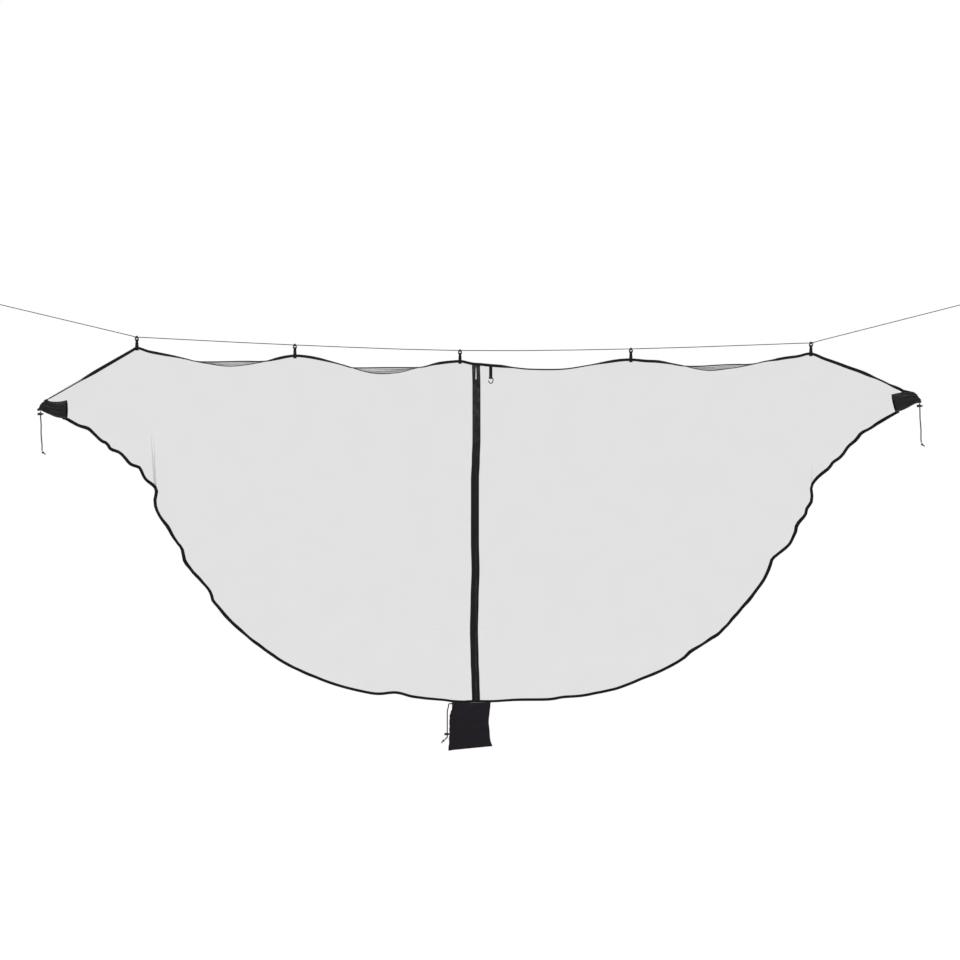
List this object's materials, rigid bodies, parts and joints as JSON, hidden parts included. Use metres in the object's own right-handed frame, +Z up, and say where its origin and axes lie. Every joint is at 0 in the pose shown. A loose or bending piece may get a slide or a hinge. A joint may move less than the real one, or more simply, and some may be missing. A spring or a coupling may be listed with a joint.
{
  "type": "hammock insect net on a ridgeline",
  "caption": "Full-length see-through insect net for a hammock, hung on hooks from a ridgeline, with a zipped door, cinched end sleeves and a stuff sack.",
  "frame": {"origin": "middle of the ridgeline cord where the middle hook sits on it", "axes": "+X along the net to its right end seen from the zipper side, +Y away from the zipper side, +Z up"},
  "size_m": [3.8993, 0.1299, 1.737],
  "materials": {
    "netting": "fine black knitted mesh, see-through",
    "webbing": "black woven tape",
    "sleeve_cloth": "black woven cloth",
    "cord": "black braided cord",
    "black_plastic": "moulded black plastic",
    "zip_coil": "black nylon coil",
    "dark_metal": "black coated metal",
    "spring_steel": "bare spring wire"
  },
  "bodies": {
    "net": {"ridgeline": "cord", "ridgeline_loop_left": "cord", "ridgeline_loop_right": "cord", "hook_tab_1": "webbing", "hook_tab_2": "webbing", "hook_tab_3": "webbing", "hook_tab_4": "webbing", "hook_tab_5": "webbing", "front_ridge_tape": "webbing", "back_ridge_tape": "webbing", "front_net_left": "netting", "front_net_right": "netting", "back_net": "netting", "top_net_strip": "netting", "hem_tape": "webbing", "end_sleeve_left": "sleeve_cloth", "end_sleeve_right": "sleeve_cloth", "cinch_cord_left": "cord", "cinch_cord_right": "cord", "cinch_knot_left": "cord", "cinch_knot_right": "cord", "zipper_tape_left": "webbing", "zipper_tape_right": "webbing", "zipper_coil_left": "zip_coil", "zipper_coil_right": "zip_coil", "zip_top_stop": "dark_metal", "zip_bottom_stop": "dark_metal"},
    "hook_1": {"ridge_hook_1": "black_plastic"},
    "hook_2": {"ridge_hook_2": "black_plastic"},
    "hook_3": {"ridge_hook_3": "black_plastic"},
    "hook_4": {"ridge_hook_4": "black_plastic"},
    "hook_5": {"ridge_hook_5": "black_plastic"},
    "slider": {"zip_slider": "dark_metal"},
    "pull_front": {"zip_pull_front": "dark_metal"},
    "pull_back": {"zip_pull_back": "dark_metal"},
    "gear_strap": {"gear_strap": "webbing"},
    "gear_hook": {"gear_hook": "dark_metal"},
    "lock_left": {"lock_barrel_left": "black_plastic", "lock_spring_left": "spring_steel"},
    "lock_button_left": {"lock_plunger_left": "black_plastic"},
    "lock_right": {"lock_barrel_right": "black_plastic", "lock_spring_right": "spring_steel"},
    "lock_button_right": {"lock_plunger_right": "black_plastic"},
    "sack": {"stuff_sack": "sleeve_cloth", "sack_cord_channel": "sleeve_cloth", "sack_drawcord": "cord", "sack_cord_knot": "cord"},
    "sack_lock": {"sack_lock_barrel": "black_plastic", "sack_lock_spring": "spring_steel"},
    "sack_lock_button": {"sack_lock_plunger": "black_plastic"}
  },
  "joints": [
    {"name": "hook_swing_1", "type": "hinge", "parent": "net", "child": "hook_1", "pos_m": [-1.231, 0, 0.039], "axis": [1, 0, 0], "range_deg": [0, 110]},
    {"name": "hook_swing_2", "type": "hinge", "parent": "net", "child": "hook_2", "pos_m": [-0.629, 0, 0.009], "axis": [1, 0, 0], "range_deg": [0, 110]},
    {"name": "hook_swing_3", "type": "hinge", "parent": "net", "child": "hook_3", "pos_m": [0, 0, -0.012], "axis": [1, 0, 0], "range_deg": [0, 110]},
    {"name": "hook_swing_4", "type": "hinge", "parent": "net", "child": "hook_4", "pos_m": [0.651, 0, -0.006], "axis": [1, 0, 0], "range_deg": [0, 110]},
    {"name": "hook_swing_5", "type": "hinge", "parent": "net", "child": "hook_5", "pos_m": [1.337, 0, 0.017], "axis": [1, 0, 0], "range_deg": [0, 110]},
    {"name": "zip_slide", "type": "slide", "parent": "net", "child": "slider", "axis": [0, -0.0043, 1], "range_m": [-1.135, 0.047], "deforming": ["zipper_coil_left", "zipper_coil_right"]},
    {"name": "pull_front_swing", "type": "hinge", "parent": "slider", "child": "pull_front", "pos_m": [0.061, -0.0114, -0.11437], "axis": [-1, 0, 0], "range_deg": [0, 150]},
    {"name": "pull_back_swing", "type": "hinge", "parent": "slider", "child": "pull_back", "pos_m": [0.061, -0.0008, -0.11432], "axis": [1, 0, 0], "range_deg": [0, 12]},
    {"name": "gear_strap_swing", "type": "hinge", "parent": "net", "child": "gear_strap", "pos_m": [0.117, -0.01215, -0.0584], "axis": [-1, 0, 0], "range_deg": [0, 80]},
    {"name": "gear_hook_swing", "type": "hinge", "parent": "gear_strap", "child": "gear_hook", "pos_m": [0.117, -0.01515, -0.1054], "axis": [-1, 0, 0], "range_deg": [0, 100]},
    {"name": "lock_slide_left", "type": "slide", "parent": "net", "child": "lock_left", "axis": [0.0419, 0, -0.9991], "range_m": [-0.004, 0.12]},
    {"name": "lock_press_left", "type": "slide", "parent": "lock_left", "child": "lock_button_left", "axis": [-1, 0, 0], "range_m": [0, 0.003], "stiffness_N_per_m": 300, "deforming": ["lock_spring_left"]},
    {"name": "lock_slide_right", "type": "slide", "parent": "net", "child": "lock_right", "axis": [0.0419, 0, -0.9991], "range_m": [-0.004, 0.12]},
    {"name": "lock_press_right", "type": "slide", "parent": "lock_right", "child": "lock_button_right", "axis": [-1, 0, 0], "range_m": [0, 0.003], "stiffness_N_per_m": 300, "deforming": ["lock_spring_right"]},
    {"name": "sack_swing", "type": "hinge", "parent": "net", "child": "sack", "pos_m": [0.044, 0, -1.3424], "axis": [1, 0, 0], "range_deg": [-80, 80]},
    {"name": "sack_lock_slide", "type": "slide", "parent": "sack", "child": "sack_lock", "axis": [0, 0, 1], "range_m": [0, 0.05]},
    {"name": "sack_lock_press", "type": "slide", "parent": "sack_lock", "child": "sack_lock_button", "axis": [-1, 0, 0], "range_m": [0, 0.003], "stiffness_N_per_m": 300, "deforming": ["sack_lock_spring"]}
  ]
}
